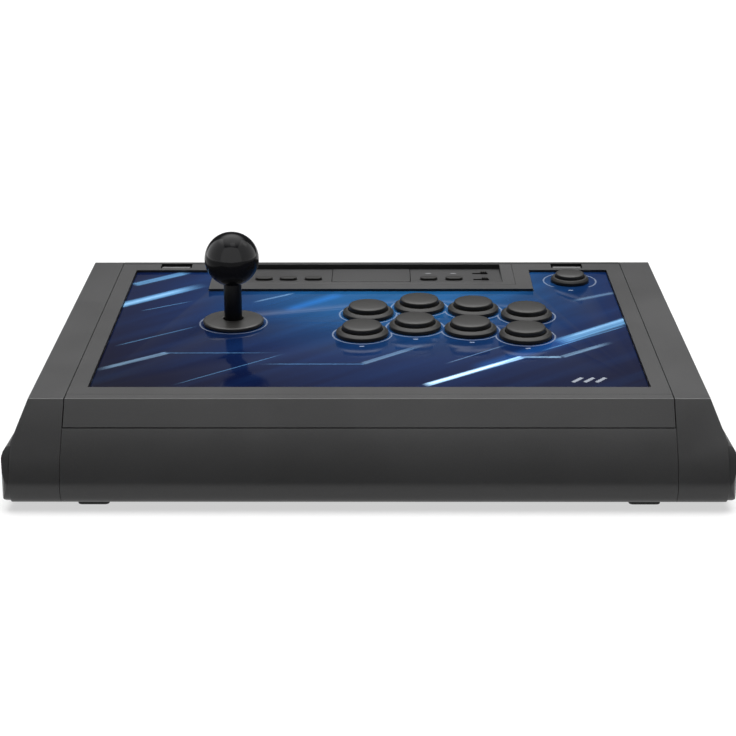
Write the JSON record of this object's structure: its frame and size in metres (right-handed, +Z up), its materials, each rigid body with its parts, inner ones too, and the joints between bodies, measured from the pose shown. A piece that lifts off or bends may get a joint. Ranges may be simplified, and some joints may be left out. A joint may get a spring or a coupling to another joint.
{
  "type": "arcade joystick panel",
  "caption": "Free-standing arcade joystick panel: hinged case with a ball-top lever, round push buttons and a recessed strip of small controls.",
  "frame": {"origin": "on the resting plane, under the middle of the case", "axes": "+X to the player's right along the case's length, +Y away from the player, +Z up"},
  "size_m": [0.4236, 0.2978, 0.1291],
  "materials": {
    "case_plastic": "fine-textured moulded ABS",
    "cap_plastic": "satin moulded trim",
    "control_plastic": "satin nylon, slightly worn on the crowns",
    "strip_plastic": "fine-textured ABS",
    "printed_panel": "clear acrylic over a dark blue print",
    "print": "printed sheet",
    "gloss_black": "polished black",
    "zinc_steel": "zinc-plated sheet steel",
    "black_steel": "black electrocoat on sheet steel",
    "turned_steel": "turned steel",
    "circuit": "green solder mask",
    "mechanism_plastic": "moulded nylon",
    "rubber": "moulded rubber"
  },
  "bodies": {
    "base": {"base_tub": "case_plastic", "left_side_panel": "case_plastic", "right_side_panel": "case_plastic", "left_side_cap": "cap_plastic", "right_side_cap": "cap_plastic", "bottom_plate": "zinc_steel", "case_screws": "turned_steel", "rubber_feet": "rubber", "main_board": "circuit", "usb_socket": "turned_steel", "hinge_brackets": "black_steel", "left_release_spring": "turned_steel", "right_release_spring": "turned_steel"},
    "lid": {"lid_frame": "case_plastic", "front_bar": "case_plastic", "panel_plate": "zinc_steel", "art_sheet": "print", "clear_cover": "printed_panel", "panel_screws": "turned_steel", "function_panel": "strip_plastic", "function_board": "circuit", "hinge_pins": "black_steel", "lever_mount_plate": "zinc_steel", "lever_nuts": "turned_steel", "lever_housing": "mechanism_plastic", "restrictor_gate": "mechanism_plastic", "lever_switches": "mechanism_plastic", "lever_board": "circuit", "button_bodies": "control_plastic", "small_button_body": "control_plastic", "button_switches": "mechanism_plastic"},
    "left_release": {"left_release_button": "control_plastic"},
    "right_release": {"right_release_button": "control_plastic"},
    "gimbal": {"pivot_ring": "mechanism_plastic"},
    "lever": {"lever_pivot": "mechanism_plastic", "lever_shaft": "turned_steel", "shaft_cover": "gloss_black", "ball_top": "gloss_black", "actuator": "mechanism_plastic", "retaining_clip": "turned_steel", "lever_spring": "turned_steel"},
    "lower_washer": {"under_washer": "gloss_black"},
    "upper_washer": {"dust_washer": "gloss_black"},
    "small_plunger": {"small_button": "control_plastic"},
    "pad": {"touch_pad": "strip_plastic"},
    "knob_1": {"switch_knob_1": "control_plastic"},
    "knob_2": {"switch_knob_2": "control_plastic"},
    "plunger_1": {"button_1": "control_plastic"},
    "plunger_2": {"button_2": "control_plastic"},
    "plunger_3": {"button_3": "control_plastic"},
    "plunger_4": {"button_4": "control_plastic"},
    "plunger_5": {"button_5": "control_plastic"},
    "plunger_6": {"button_6": "control_plastic"},
    "plunger_7": {"button_7": "control_plastic"},
    "plunger_8": {"button_8": "control_plastic"},
    "option_1": {"option_button_1": "control_plastic"},
    "option_2": {"option_button_2": "control_plastic"},
    "option_3": {"option_button_3": "control_plastic"},
    "option_4": {"option_button_4": "control_plastic"},
    "option_5": {"option_button_5": "control_plastic"}
  },
  "joints": [
    {"name": "lid_hinge", "type": "hinge", "parent": "base", "child": "lid", "pos_m": [0, 0.13872, 0.07568], "axis": [-1, 0, 0], "range_deg": [0, 65]},
    {"name": "lever_fore_aft", "type": "hinge", "parent": "lid", "child": "gimbal", "pos_m": [-0.0889, 0.02029, 0.05186], "axis": [1, 0, 0], "range_deg": [-8, 8], "stiffness_Nm_per_rad": 1.2},
    {"name": "lever_side", "type": "hinge", "parent": "gimbal", "child": "lever", "pos_m": [-0.0889, 0.02029, 0.05186], "axis": [0, 0.9976, 0.0698], "range_deg": [-8, 8], "stiffness_Nm_per_rad": 1.2},
    {"name": "lower_washer_slide", "type": "slide", "parent": "lid", "child": "lower_washer", "axis": [1, 0, 0], "range_m": [-0.0027, 0.0027]},
    {"name": "upper_washer_slide", "type": "slide", "parent": "lower_washer", "child": "upper_washer", "axis": [0, 0.9976, 0.0698], "range_m": [-0.0027, 0.0027]},
    {"name": "press_1", "type": "slide", "parent": "lid", "child": "plunger_1", "axis": [0, 0.0698, -0.9976], "range_m": [0, 0.0025], "stiffness_N_per_m": 150, "springref_m": -0.003},
    {"name": "press_2", "type": "slide", "parent": "lid", "child": "plunger_2", "axis": [0, 0.0698, -0.9976], "range_m": [0, 0.0025], "stiffness_N_per_m": 150, "springref_m": -0.003},
    {"name": "press_3", "type": "slide", "parent": "lid", "child": "plunger_3", "axis": [0, 0.0698, -0.9976], "range_m": [0, 0.0025], "stiffness_N_per_m": 150, "springref_m": -0.003},
    {"name": "press_4", "type": "slide", "parent": "lid", "child": "plunger_4", "axis": [0, 0.0698, -0.9976], "range_m": [0, 0.0025], "stiffness_N_per_m": 150, "springref_m": -0.003},
    {"name": "press_5", "type": "slide", "parent": "lid", "child": "plunger_5", "axis": [0, 0.0698, -0.9976], "range_m": [0, 0.0025], "stiffness_N_per_m": 150, "springref_m": -0.003},
    {"name": "press_6", "type": "slide", "parent": "lid", "child": "plunger_6", "axis": [0, 0.0698, -0.9976], "range_m": [0, 0.0025], "stiffness_N_per_m": 150, "springref_m": -0.003},
    {"name": "press_7", "type": "slide", "parent": "lid", "child": "plunger_7", "axis": [0, 0.0698, -0.9976], "range_m": [0, 0.0025], "stiffness_N_per_m": 150, "springref_m": -0.003},
    {"name": "press_8", "type": "slide", "parent": "lid", "child": "plunger_8", "axis": [0, 0.0698, -0.9976], "range_m": [0, 0.0025], "stiffness_N_per_m": 150, "springref_m": -0.003},
    {"name": "press_small", "type": "slide", "parent": "lid", "child": "small_plunger", "axis": [0, 0.0698, -0.9976], "range_m": [0, 0.002], "stiffness_N_per_m": 150, "springref_m": -0.003},
    {"name": "pad_click", "type": "slide", "parent": "lid", "child": "pad", "axis": [0, 0, -1], "range_m": [0, 0.0006], "stiffness_N_per_m": 800, "springref_m": -0.001},
    {"name": "option_press_1", "type": "slide", "parent": "lid", "child": "option_1", "axis": [0, 0, -1], "range_m": [0, 0.0008], "stiffness_N_per_m": 400, "springref_m": -0.002},
    {"name": "option_press_2", "type": "slide", "parent": "lid", "child": "option_2", "axis": [0, 0, -1], "range_m": [0, 0.0008], "stiffness_N_per_m": 400, "springref_m": -0.002},
    {"name": "option_press_3", "type": "slide", "parent": "lid", "child": "option_3", "axis": [0, 0, -1], "range_m": [0, 0.0008], "stiffness_N_per_m": 400, "springref_m": -0.002},
    {"name": "option_press_4", "type": "slide", "parent": "lid", "child": "option_4", "axis": [0, 0, -1], "range_m": [0, 0.0008], "stiffness_N_per_m": 400, "springref_m": -0.002},
    {"name": "option_press_5", "type": "slide", "parent": "lid", "child": "option_5", "axis": [0, 0, -1], "range_m": [0, 0.0008], "stiffness_N_per_m": 400, "springref_m": -0.002},
    {"name": "switch_slide_1", "type": "slide", "parent": "lid", "child": "knob_1", "axis": [-1, 0, 0], "range_m": [0, 0.005]},
    {"name": "switch_slide_2", "type": "slide", "parent": "lid", "child": "knob_2", "axis": [-1, 0, 0], "range_m": [0, 0.005]},
    {"name": "left_release_press", "type": "slide", "parent": "base", "child": "left_release", "axis": [1, 0, 0], "range_m": [0, 0.003], "stiffness_N_per_m": 400, "springref_m": -0.003, "deforming": ["left_release_spring"]},
    {"name": "right_release_press", "type": "slide", "parent": "base", "child": "right_release", "axis": [-1, 0, 0], "range_m": [0, 0.003], "stiffness_N_per_m": 400, "springref_m": -0.003, "deforming": ["right_release_spring"]}
  ],
  "couplings": [
    {"joint": "lower_washer_slide", "follows": "lever_side", "m_per_rad": 0.0182},
    {"joint": "upper_washer_slide", "follows": "lever_fore_aft", "m_per_rad": -0.0182}
  ]
}
